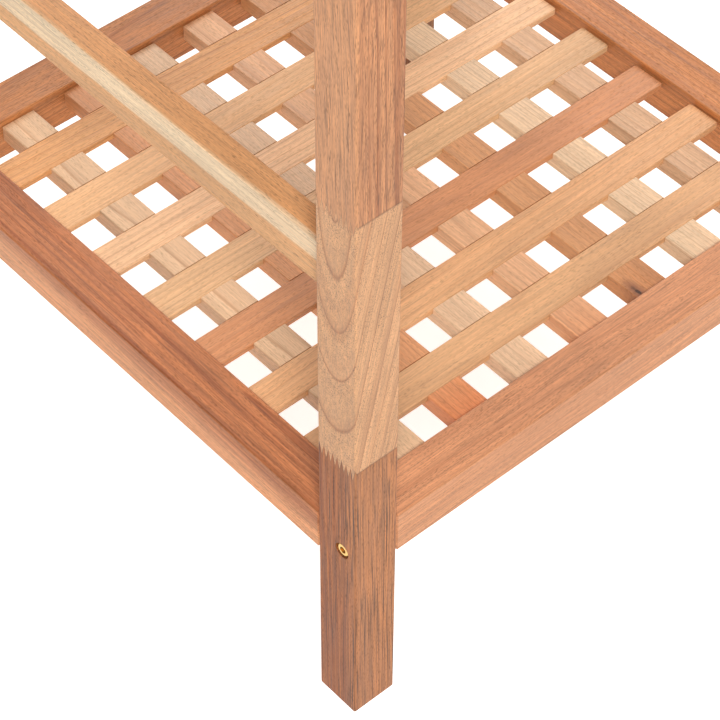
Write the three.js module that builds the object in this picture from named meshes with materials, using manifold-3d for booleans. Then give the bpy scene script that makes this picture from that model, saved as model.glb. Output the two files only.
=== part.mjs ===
// A small hardwood luggage rack: four square legs, a lower frame with a crossed-slat shelf, a side
// stretcher on each side, and a top frame that carries a slatted luggage deck. The deck is hinged along
// the back and lifts up against the wall.
// Millimetres. X runs along the cross rails, Y from the front (-) to the back (+), Z up.
// The origin is on the floor, at the middle of the rack.

import * as THREE from 'three';
import { mergeVertices } from 'three/addons/utils/BufferGeometryUtils.js';
import Module from 'manifold-3d';

// Overall sizes
const rackWidth = 504; // X, over the legs
const rackDepth = 505; // Y, over the legs
const legHeight = 678; // floor to the top of the legs
const legSize = 35.7; // square section of the legs

// Frames
const railHeight = 35.7; // every rail is as thick as a leg, so it finishes flush with it
const lowerRailBottom = 150;
const stretcherBottom = 387.5;
const stretcherHeight = 35.7;
const stretcherThickness = 20; // centred on the leg
const edgeEase = 1.2; // rounding on long edges and on ends
const flatOfEase = 0.1; // the corner radius is this much more than the easing, so no edge closes up

// Shelf
const slatCount = 7; // each way
const slatWidth = 28.6;
const bearerThickness = 13.6; // the slats that run front to back and carry the load
const crossSlatThickness = 5.4; // the thin slats let into them
const shelfDrop = 5; // shelf surface below the top of the rails
const endGapExtra = 2.5; // the outer openings are this much wider than the others
const crossSlatEndGap = 1.2; // a cross slat stops this short of the side rail
const slatCorner = 2.4; // corner radius of a cross slat, seen from above
const slatEase = 0.5;
const rebateDepth = 1.5; // shallow rebate along the inside of the lower cross rails
const rebateDrop = 10; // its shoulder, below the top of the rail

// Joinery
const fit = 0.25; // clearance between glued or touching pieces
const tenonThickness = 14;
const stretcherTenonThickness = 10;
const tenonShoulder = 6; // a tenon is this much lower than its rail, above and below
const tenonToBolt = 3; // wood between a tenon's end and the bolt that crosses behind it
const tongueLength = 5; // cross rails have a short tongue that stops them turning on the bolt
const tongueWall = 1; // wood on the tongue beside its bolt
const bearerTenonLength = 9;
const bearerTenonThickness = 6;
const bearerTenonShoulder = 3.5;

// M6 socket-head bolts with barrel nuts
const boltDiameter = 6;
const boltHeadDiameter = 10;
const boltHeadHeight = 6;
const boltSocket = 5; // hexagon across flats
const boltSocketDepth = 3;
const boltClearance = 0.3; // radial
const boltSink = 1; // top of the head below the face of the leg
const boltPastNut = 5;
const boltHoleSpare = 2; // empty hole beyond the bolt's end
const counterboreDiameter = 12.4;
const boltEdge = 13; // bolt axis from the outer face, clear of the side rail's tenon
const nutDiameter = 10;
const nutLength = 20;
const nutFromEnd = 24; // nut axis from the end of the rail

// Luggage deck
const deckSlatCount = 7;
const deckSlatWidth = 54;
const deckSlatThickness = 14;
const deckRest = 0.3; // between the deck and the top of the frame
const deckBackSetback = 8; // the deck stops this short of the back, beside the hinge barrels
const battenWidth = 30;
const battenThickness = 18;
const battenInset = 60; // batten axis from the inside of the side rail
const battenPlay = 4; // between a batten's end and the rail

// Butt hinges, let in flush
const hingeLength = 60;
const hingeInset = 100; // hinge middle from the inside of the leg
const leafThickness = 2;
const leafWidth = 20; // from the deck's back edge
const leafScrews = 3;
const leafScrewEnd = 8; // outer screws from the ends of the leaf
const leafScrewHole = 4.2;
const countersinkDiameter = 7.4;
const barrelRadius = 3;
const barrelKnuckles = 5;
const knuckleGap = 0.4;
const pinRadius = 1.5;
const pinPlay = 0.3;
const pinHead = 0.9; // the pin stands out of the barrel by this much at each end
const gainPlay = 0.5; // around the barrel in its notch
const knuckleOverlap = 1; // how far a knuckle's strap runs into its plate
const barrelSetIn = 4; // hinge axis in from the back of the rack

// Worked-out sizes
const halfWidth = rackWidth / 2;
const halfDepth = rackDepth / 2;
const legX = halfWidth - legSize / 2;
const legY = halfDepth - legSize / 2;
const innerWidth = rackWidth - 2 * legSize;
const innerDepth = rackDepth - 2 * legSize;
const topRailBottom = legHeight - railHeight;
const shelfTop = lowerRailBottom + railHeight - shelfDrop;
const hingeAxisY = halfDepth - barrelSetIn;
const hingeAxisZ = legHeight + deckRest / 2;
const boltOffset = legSize / 2 - boltEdge; // bolt axis from the middle of the leg, outwards
const headSeat = boltSink + boltHeadHeight; // depth of the counterbore
const tenonLength = legSize - boltEdge - boltDiameter / 2 - tenonToBolt;
const tongueWidth = 2 * (boltOffset + boltDiameter / 2 + tongueWall);

const wasm = await Module();
wasm.setup();

// ---- Solids -------------------------------------------------------------------------------------

function toSolid(geometry) {
  const bare = geometry.index ? geometry.toNonIndexed() : geometry.clone();
  bare.deleteAttribute('normal');
  bare.deleteAttribute('uv');
  const merged = mergeVertices(bare, 1e-4);
  return new wasm.Manifold(new wasm.Mesh({
    numProp: 3,
    vertProperties: merged.attributes.position.array,
    triVerts: new Uint32Array(merged.index.array),
  }));
}

function toGeometry(solid) {
  const result = solid.getMesh();
  const geometry = new THREE.BufferGeometry();
  geometry.setAttribute('position', new THREE.BufferAttribute(result.vertProperties, 3));
  geometry.setIndex(new THREE.BufferAttribute(result.triVerts, 1));
  geometry.computeVertexNormals();
  return geometry;
}

// Joins the first geometry with the ones in add and cuts the ones in cut away
function shaped(base, add, cut) {
  let solid = toSolid(base);
  for (const piece of add) solid = solid.add(toSolid(piece));
  for (const piece of cut) solid = solid.subtract(toSolid(piece));
  return toGeometry(solid);
}

function block(sizeX, sizeY, sizeZ, x, y, z) {
  return new THREE.BoxGeometry(sizeX, sizeY, sizeZ).translate(x, y, z);
}

// A cylinder along X, Y or Z, from its middle
function rod(axis, radius, length, x, y, z, sides = 16) {
  const geometry = new THREE.CylinderGeometry(radius, radius, length, sides);
  if (axis === 'x') geometry.rotateZ(Math.PI / 2);
  if (axis === 'z') geometry.rotateX(Math.PI / 2);
  return geometry.translate(x, y, z);
}

function roundedOutline(sizeX, sizeY, radius) {
  const right = sizeX / 2;
  const top = sizeY / 2;
  const shape = new THREE.Shape();
  shape.moveTo(-right + radius, -top);
  shape.lineTo(right - radius, -top);
  shape.absarc(right - radius, -top + radius, radius, -Math.PI / 2, 0, false);
  shape.lineTo(right, top - radius);
  shape.absarc(right - radius, top - radius, radius, 0, Math.PI / 2, false);
  shape.lineTo(-right + radius, top);
  shape.absarc(-right + radius, top - radius, radius, Math.PI / 2, Math.PI, false);
  shape.lineTo(-right, -top + radius);
  shape.absarc(-right + radius, -top + radius, radius, Math.PI, Math.PI * 1.5, false);
  return shape;
}

// A rounded outline pulled up along Z, with eased rims, centred on the origin
function easedPrism(sizeX, sizeY, sizeZ, cornerRadius, ease, cornerSteps) {
  const geometry = new THREE.ExtrudeGeometry(roundedOutline(sizeX, sizeY, cornerRadius), {
    depth: sizeZ - 2 * ease,
    curveSegments: cornerSteps,
    bevelEnabled: true,
    bevelThickness: ease,
    bevelSize: ease,
    bevelOffset: -ease,
    bevelSegments: 1,
  });
  return geometry.translate(0, 0, ease - sizeZ / 2);
}

// Square-section timber along Z, Y or X
function timber(axis, length, width, height) {
  const corner = edgeEase + flatOfEase;
  if (axis === 'z') return easedPrism(width, height, length, corner, edgeEase, 2);
  if (axis === 'y') {
    return easedPrism(width, height, length, corner, edgeEase, 2).rotateX(Math.PI / 2);
  }
  return easedPrism(height, width, length, corner, edgeEase, 2).rotateY(Math.PI / 2);
}

// ---- Materials ----------------------------------------------------------------------------------

function finish(color, roughness, metalness) {
  return new THREE.MeshStandardMaterial({ color, roughness, metalness });
}

const redBrownWood = finish(0xb97a56, 0.55, 0);
const tanWood = finish(0xd9a777, 0.58, 0);
const honeyWood = finish(0xcf9a6c, 0.58, 0);
const brass = finish(0xd8b36a, 0.32, 0.9);
const zincSteel = finish(0xb9bcc0, 0.4, 0.9);

const rack = new THREE.Group();
const shelf = new THREE.Group();
const deck = new THREE.Group();
rack.add(shelf);
rack.add(deck);

function place(parent, name, geometry, material, x = 0, y = 0, z = 0) {
  const mesh = new THREE.Mesh(geometry, material);
  mesh.name = name;
  mesh.position.set(x, y, z);
  parent.add(mesh);
}

// ---- Legs ---------------------------------------------------------------------------------------

const crossRailLevels = [lowerRailBottom + railHeight / 2, topRailBottom + railHeight / 2];
const stretcherMiddle = stretcherBottom + stretcherHeight / 2;

// side is -1 or 1 across X, end is -1 (front) or 1 (back); the leg's foot middle is its own origin
function legGeometry(side, end) {
  const innerY = -end * legSize / 2;
  const innerX = -side * legSize / 2;
  const mortiseDepth = tenonLength + 2 * fit;
  const cuts = [];
  for (const level of crossRailLevels) {
    const mortiseHeight = railHeight - 2 * tenonShoulder + 2 * fit;
    cuts.push(block(tenonThickness + 2 * fit, 2 * mortiseDepth, mortiseHeight, 0, innerY, level));
    cuts.push(block(2 * (tongueLength + fit), tongueWidth + 2 * fit, mortiseHeight, innerX, 0, level));
    cuts.push(rod('x', boltDiameter / 2 + boltClearance, 2 * legSize, 0, end * boltOffset, level));
    cuts.push(rod('x', counterboreDiameter / 2, 2 * headSeat, side * legSize / 2, end * boltOffset, level));
  }
  const stretcherMortise = stretcherHeight - 2 * tenonShoulder + 2 * fit;
  cuts.push(block(stretcherTenonThickness + 2 * fit, 2 * mortiseDepth, stretcherMortise,
    0, innerY, stretcherMiddle));
  return shaped(timber('z', legHeight, legSize, legSize).translate(0, 0, legHeight / 2), [], cuts);
}

const sides = [['left', -1], ['right', 1]];
const ends = [['front', -1], ['back', 1]];
for (const [sideName, side] of sides) {
  for (const [endName, end] of ends) {
    place(rack, `leg_${endName}_${sideName}`, legGeometry(side, end), tanWood, side * legX, end * legY, 0);
  }
}

// ---- Side rails and stretchers (along Y, glued into the legs) -----------------------------------

function tenonedRail(width, height, tenonWidth) {
  const length = innerDepth - 2 * fit;
  const tenon = block(tenonWidth, length + 2 * tenonLength, height - 2 * tenonShoulder, 0, 0, 0);
  return shaped(timber('y', length, width, height), [tenon], []);
}

for (const [sideName, side] of sides) {
  const rail = () => tenonedRail(legSize, railHeight, tenonThickness);
  place(rack, `side_rail_lower_${sideName}`, rail(), redBrownWood, side * legX, 0, crossRailLevels[0]);
  place(rack, `side_rail_top_${sideName}`, rail(), redBrownWood, side * legX, 0, crossRailLevels[1]);
  const stretcher = tenonedRail(stretcherThickness, stretcherHeight, stretcherTenonThickness);
  place(rack, `stretcher_${sideName}`, stretcher, honeyWood, side * legX, 0, stretcherMiddle);
}

// ---- Cross rails (along X, bolted through the legs) ---------------------------------------------

const bearerMiddle = shelfTop - bearerThickness / 2;

// Places of the slat middles across a clear span: equal openings, the two outer ones a little wider
function slatMiddles(span) {
  const opening = (span - slatCount * slatWidth - 2 * endGapExtra) / (slatCount + 1);
  const first = -span / 2 + endGapExtra + opening + slatWidth / 2;
  return Array.from({ length: slatCount }, (_, index) => first + index * (slatWidth + opening));
}

const bearerX = slatMiddles(innerWidth);
const crossSlatY = slatMiddles(innerDepth);
const hingeX = [-1, 1].map((side) => side * (innerWidth / 2 - hingeInset));

function crossRail(end, extraCuts) {
  const length = innerWidth - 2 * fit;
  const tongue = block(length + 2 * tongueLength, tongueWidth, railHeight - 2 * tenonShoulder, 0, 0, 0);
  const cuts = [];
  for (const side of [-1, 1]) {
    const nutX = side * (innerWidth / 2 - nutFromEnd);
    const boltHole = nutFromEnd + tongueLength + boltPastNut + boltHoleSpare;
    cuts.push(rod('x', boltDiameter / 2 + boltClearance, 2 * boltHole,
      side * (innerWidth / 2 + tongueLength), end * boltOffset, 0));
    const nutHole = railHeight / 2 + nutLength / 2 + fit;
    cuts.push(rod('z', nutDiameter / 2 + fit, nutHole, nutX, end * boltOffset,
      nutLength / 2 + fit - nutHole / 2));
  }
  return shaped(timber('x', length, legSize, railHeight), [tongue], [...cuts, ...extraCuts]);
}

// The lower cross rails take the bearers' tenons, under the shoulder of the rebate
function lowerRailCuts(end) {
  const innerY = -end * legSize / 2;
  const middle = bearerMiddle - crossRailLevels[0];
  const cuts = bearerX.map((x) => block(
    slatWidth - 2 * bearerTenonShoulder + 2 * fit,
    2 * (bearerTenonLength + fit),
    bearerTenonThickness + 2 * fit,
    x, innerY, middle,
  ));
  const rebateHeight = railHeight;
  cuts.push(block(innerWidth + legSize, 2 * rebateDepth, rebateHeight,
    0, innerY, railHeight / 2 - rebateDrop - rebateHeight / 2));
  return cuts;
}

// The bed for one hinge leaf, from backY forwards; it is cut from a face at height z
function leafBed(x, backY, z) {
  const bedDepth = leafThickness + fit;
  const width = leafWidth + fit + edgeEase;
  return block(hingeLength + 2 * fit, width, 2 * bedDepth, x, backY + edgeEase - width / 2, z);
}

// The top back rail has a shallow bed for each hinge leaf, and a notch for its barrel
function hingeBeds() {
  const deckBack = halfDepth - deckBackSetback;
  const cuts = [];
  for (const x of hingeX) {
    cuts.push(leafBed(x, deckBack - legY, railHeight / 2));
    const notchLength = hingeLength + 2 * (pinHead + gainPlay);
    cuts.push(block(notchLength, 2 * deckBackSetback, 2 * (barrelRadius + gainPlay),
      x, legSize / 2, railHeight / 2));
  }
  return cuts;
}

for (const [endName, end] of ends) {
  const lower = crossRail(end, lowerRailCuts(end));
  place(rack, `cross_rail_lower_${endName}`, lower, redBrownWood, 0, end * legY, crossRailLevels[0]);
  const top = crossRail(end, end > 0 ? hingeBeds() : []);
  place(rack, `cross_rail_top_${endName}`, top, redBrownWood, 0, end * legY, crossRailLevels[1]);
}

// ---- Bolts and barrel nuts ----------------------------------------------------------------------

// The bolt's own origin is the underside of its head; it runs along +X
function boltGeometry() {
  const length = legSize - headSeat + nutFromEnd + boltPastNut;
  const shank = rod('x', boltDiameter / 2, length + boltHeadHeight / 2, (length - boltHeadHeight / 2) / 2, 0, 0);
  const head = rod('x', boltHeadDiameter / 2, boltHeadHeight, -boltHeadHeight / 2, 0, 0, 24);
  const socket = rod('x', boltSocket / Math.sqrt(3), 2 * boltSocketDepth, -boltHeadHeight, 0, 0, 6);
  return shaped(head, [shank], [socket]);
}

function nutGeometry() {
  const bore = rod('x', boltDiameter / 2 + boltClearance, 2 * nutDiameter, 0, 0, 0);
  return shaped(rod('z', nutDiameter / 2, nutLength, 0, 0, 0), [], [bore]);
}

const levelNames = ['lower', 'top'];
for (const [sideName, side] of sides) {
  for (const [endName, end] of ends) {
    crossRailLevels.forEach((level, index) => {
      const tag = `${levelNames[index]}_${endName}_${sideName}`;
      const y = end * (legY + boltOffset);
      const bolt = side > 0 ? boltGeometry().rotateZ(Math.PI) : boltGeometry();
      const seatGap = fit; // the head stands this much off its seat
      place(rack, `bolt_${tag}`, bolt, brass, side * (halfWidth - headSeat + seatGap), y, level);
      place(rack, `barrel_nut_${tag}`, nutGeometry(), zincSteel,
        side * (innerWidth / 2 - nutFromEnd), y, level);
    });
  }
}

// ---- Shelf --------------------------------------------------------------------------------------

// A bearer runs front to back, tenoned at both ends and notched for the cross slats
function bearerGeometry() {
  const length = innerDepth - 2 * fit;
  const plank = easedPrism(slatWidth, length, bearerThickness, slatEase + flatOfEase, slatEase, 1);
  const tenon = block(slatWidth - 2 * bearerTenonShoulder, length + 2 * bearerTenonLength,
    bearerTenonThickness, 0, 0, 0);
  const notchDepth = crossSlatThickness + fit;
  const notches = crossSlatY.map((y) => block(2 * slatWidth, slatWidth + 2 * fit, 2 * notchDepth,
    0, y, bearerThickness / 2));
  return shaped(plank, [tenon], notches);
}

function crossSlatGeometry() {
  const length = innerWidth - 2 * crossSlatEndGap;
  return easedPrism(length, slatWidth, crossSlatThickness, slatCorner, slatEase, 3);
}

bearerX.forEach((x, index) => {
  place(shelf, `shelf_bearer_${index + 1}`, bearerGeometry(), tanWood, x, 0, bearerMiddle);
});
crossSlatY.forEach((y, index) => {
  const z = shelfTop - crossSlatThickness / 2;
  place(shelf, `shelf_slat_${index + 1}`, crossSlatGeometry(), honeyWood, 0, y, z);
});

// ---- Luggage deck (its own origin is on the hinge axis) -----------------------------------------

deck.position.set(0, hingeAxisY, hingeAxisZ);

const deckBottom = deckRest / 2; // above the hinge axis
const deckBackY = barrelSetIn - deckBackSetback;
const deckDepth = rackDepth - deckBackSetback;
const deckSpacing = (deckDepth - deckSlatWidth) / (deckSlatCount - 1);

function deckSlatGeometry(beds) {
  const slat = easedPrism(deckSlatWidth, rackWidth, deckSlatThickness, edgeEase + flatOfEase, edgeEase, 2)
    .rotateZ(Math.PI / 2);
  return shaped(slat, [], beds);
}

function deckLeafBeds() {
  return hingeX.map((x) => leafBed(x, deckSlatWidth / 2, -deckSlatThickness / 2));
}

for (let index = 0; index < deckSlatCount; index += 1) {
  const fromBack = deckSlatCount - 1 - index;
  const y = deckBackY - deckSlatWidth / 2 - fromBack * deckSpacing;
  const beds = fromBack === 0 ? deckLeafBeds() : [];
  place(deck, `deck_slat_${index + 1}`, deckSlatGeometry(beds), redBrownWood,
    0, y, deckBottom + deckSlatThickness / 2);
}

for (const [sideName, side] of sides) {
  const length = innerDepth - 2 * battenPlay;
  const batten = timber('y', length, battenWidth, battenThickness);
  place(deck, `deck_batten_${sideName}`, batten, tanWood,
    side * (innerWidth / 2 - battenInset), -hingeAxisY, deckBottom - fit - battenThickness / 2);
}

// ---- Butt hinges --------------------------------------------------------------------------------

// Countersunk screw holes along the middle of a leaf; they open towards the other leaf
function leafScrewHoles(up) {
  const y = deckBackY - leafWidth / 2;
  const faceZ = up * deckRest / 2;
  const spacing = (hingeLength - 2 * leafScrewEnd) / (leafScrews - 1);
  const holes = [];
  for (let index = 0; index < leafScrews; index += 1) {
    const x = -hingeLength / 2 + leafScrewEnd + index * spacing;
    holes.push(rod('z', leafScrewHole / 2, 4 * leafThickness, x, y, faceZ, 12));
    const cone = new THREE.CylinderGeometry(0, countersinkDiameter, countersinkDiameter, 16);
    cone.rotateX(up * Math.PI / 2);
    holes.push(cone.translate(x, y, faceZ));
  }
  return holes;
}

// One leaf with its knuckles. up is 1 for the leaf on the deck and -1 for the leaf on the rail,
// first is its first knuckle. The origin is the middle of the pin.
function leafGeometry(up, first) {
  const plateEdge = deckBackY - fit; // the plate stops here between its own knuckles
  const plateZ = up * (deckRest / 2 + leafThickness / 2);
  const plate = block(hingeLength, leafWidth - fit, leafThickness,
    0, plateEdge - (leafWidth - fit) / 2, plateZ);
  const pitch = hingeLength / barrelKnuckles;
  const joined = [];
  for (let index = first; index < barrelKnuckles; index += 2) {
    const x = -hingeLength / 2 + (index + 0.5) * pitch;
    const length = pitch - knuckleGap;
    joined.push(rod('x', barrelRadius, length, x, 0, 0));
    joined.push(block(length, knuckleOverlap - plateEdge, leafThickness,
      x, (plateEdge - knuckleOverlap) / 2, plateZ));
  }
  const bore = rod('x', pinRadius + pinPlay, 2 * hingeLength, 0, 0, 0, 12);
  return shaped(plate, joined, [bore, ...leafScrewHoles(up)]);
}

const hingeNames = ['left', 'right'];
hingeX.forEach((x, index) => {
  const tag = hingeNames[index];
  const pinLength = hingeLength + 2 * pinHead;
  place(rack, `hinge_rail_leaf_${tag}`, leafGeometry(-1, 0), brass, x, hingeAxisY, hingeAxisZ);
  place(rack, `hinge_pin_${tag}`, rod('x', pinRadius, pinLength, 0, 0, 0, 12), brass,
    x, hingeAxisY, hingeAxisZ);
  place(deck, `hinge_deck_leaf_${tag}`, leafGeometry(1, 1), brass, x, 0, 0);
});

export default rack;
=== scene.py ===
import math
import random

import bmesh
import bpy
from mathutils import Matrix, Vector


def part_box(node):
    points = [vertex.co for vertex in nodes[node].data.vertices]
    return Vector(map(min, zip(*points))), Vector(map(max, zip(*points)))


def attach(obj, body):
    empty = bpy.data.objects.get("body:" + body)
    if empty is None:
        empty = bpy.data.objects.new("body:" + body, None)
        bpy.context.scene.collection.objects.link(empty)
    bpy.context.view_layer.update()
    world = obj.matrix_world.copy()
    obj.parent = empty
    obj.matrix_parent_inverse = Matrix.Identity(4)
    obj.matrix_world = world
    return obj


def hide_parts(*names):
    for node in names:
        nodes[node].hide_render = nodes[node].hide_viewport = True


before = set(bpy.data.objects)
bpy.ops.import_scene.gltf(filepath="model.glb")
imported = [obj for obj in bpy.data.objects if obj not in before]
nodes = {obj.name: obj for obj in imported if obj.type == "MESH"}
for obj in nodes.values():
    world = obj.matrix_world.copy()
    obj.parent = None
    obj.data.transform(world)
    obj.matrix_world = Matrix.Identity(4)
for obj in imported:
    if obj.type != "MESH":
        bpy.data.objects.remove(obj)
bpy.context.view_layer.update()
scene = bpy.context.scene
mm = 0.001

# everything drawn by chance comes from this one generator
chance = random.Random(27)


def linearColour(hexColour):
    # an sRGB hex value as the linear colour that the sockets take
    parts = [int(hexColour[i:i + 2], 16) / 255 for i in (1, 3, 5)]
    return [p / 12.92 if p <= 0.04045 else ((p + 0.055) / 1.055) ** 2.4 for p in parts] + [1.0]


def addNode(tree, kind, inputs=None, **settings):
    # a node with its settings, and each input either linked to a socket or set to a value
    node = tree.nodes.new(kind)
    for name, value in settings.items():
        setattr(node, name, value)
    for name, value in (inputs or {}).items():
        if isinstance(value, bpy.types.NodeSocket):
            tree.links.new(value, node.inputs[name])
        else:
            node.inputs[name].default_value = value
    return node


def newMaterial(name):
    material = bpy.data.materials.new(name)
    material.use_nodes = True
    tree = material.node_tree
    tree.nodes.clear()
    return material, tree


def dress(nodeName, material):
    nodes[nodeName].data.materials.clear()
    nodes[nodeName].data.materials.append(material)


# The camera looks down past the front left leg onto the shelf
cameraLook = {
    "offset": (-0.7217, -0.8142, 1.5611),  # from the outer corner of the front left foot, in metres
    "heading": 48.320,  # degrees from +X towards +Y
    "pitch": 47.780,  # degrees below level
    "roll": 0.293,
    "lens": 136.98,  # mm on a 36 mm sensor
}


def makeCamera(look):
    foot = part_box("leg_front_left")[0]
    heading, pitch, roll = (math.radians(look[key]) for key in ("heading", "pitch", "roll"))
    level = Vector((math.cos(heading), math.sin(heading), 0))
    forward = level * math.cos(pitch) - Vector((0, 0, math.sin(pitch)))
    right = forward.cross(Vector((0, 0, 1))).normalized()
    down = forward.cross(right)
    rolledRight = right * math.cos(roll) - down * math.sin(roll)
    rolledDown = right * math.sin(roll) + down * math.cos(roll)
    camera = bpy.data.objects.new("camera", bpy.data.cameras.new("camera"))
    camera.data.lens = look["lens"]
    camera.data.sensor_width = 36
    turned = Matrix((rolledRight, -rolledDown, -forward)).transposed().to_4x4()
    camera.matrix_world = Matrix.Translation(foot + Vector(look["offset"])) @ turned
    scene.collection.objects.link(camera)
    scene.camera = camera


makeCamera(cameraLook)
print("camera set")


# Light walnut, sawn, planed and lightly oiled: pinkish tan with brown growth lines, darker mineral
# streaks, cream sapwood and short dark pores that lie along the grain. Sizes are in mm.
grainSizes = {
    "apart": (310, 170, 530),  # from one board's part of the noises to the next
    "wobble": (26, 200),  # how the growth lines wander: across the grain, along the grain
    "unevenRings": 17,
    "streakBand": (3.6, 300),
    "fibre": (0.7, 24),
    "hairline": (0.75, 130),
    "softFibre": (2.4, 70),
    "blotch": (30, 110),
    "poreWidth": 0.6,  # real ones are about 0.2 wide; drawn this coarse so that they show
}
grainLook = {
    "season": ((0.0, 0.3), (0.06, 0.0), (0.55, 0.1), (0.84, 0.35), (0.95, 1.0), (1.0, 0.75)),  # place, share
    "fibre": (0.8, 1.17),  # darkest and lightest share
    "softFibre": (0.82, 1.13),
    "blotch": (0.88, 1.1),
    "roughness": (0.46, 0.58),
    "poreRoughness": 0.2,  # added inside a pore
    "outerShare": 0.85,  # how fully the outer wood's colour shows
}
grainSockets = (
    ("Vector", "NodeSocketVector", (0, 0, 0)),  # trunk coordinates in mm, Z along the grain
    ("Seed", "NodeSocketFloat", 0.0),
    ("Ring width", "NodeSocketFloat", 4.0),
    ("Wander", "NodeSocketFloat", 6.0),
    ("Early", "NodeSocketColor", (0.7, 0.4, 0.2, 1)),
    ("Late", "NodeSocketColor", (0.5, 0.25, 0.12, 1)),
    ("Streak", "NodeSocketColor", (0.35, 0.15, 0.07, 1)),
    ("Outer", "NodeSocketColor", (0.8, 0.6, 0.4, 1)),
    ("Outer radius", "NodeSocketFloat", 500.0),
    ("Outer softness", "NodeSocketFloat", 4.0),
    ("Figure", "NodeSocketFloat", 0.6),
    ("Line", "NodeSocketFloat", 0.0),
    ("Line width", "NodeSocketFloat", 0.05),
    ("Fibres", "NodeSocketFloat", 1.0),
    ("Hairlines", "NodeSocketFloat", 0.35),
    ("Streaks", "NodeSocketFloat", 0.4),
    ("Pores", "NodeSocketFloat", 0.5),
    ("Pore length", "NodeSocketFloat", 5.0),
)


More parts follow.
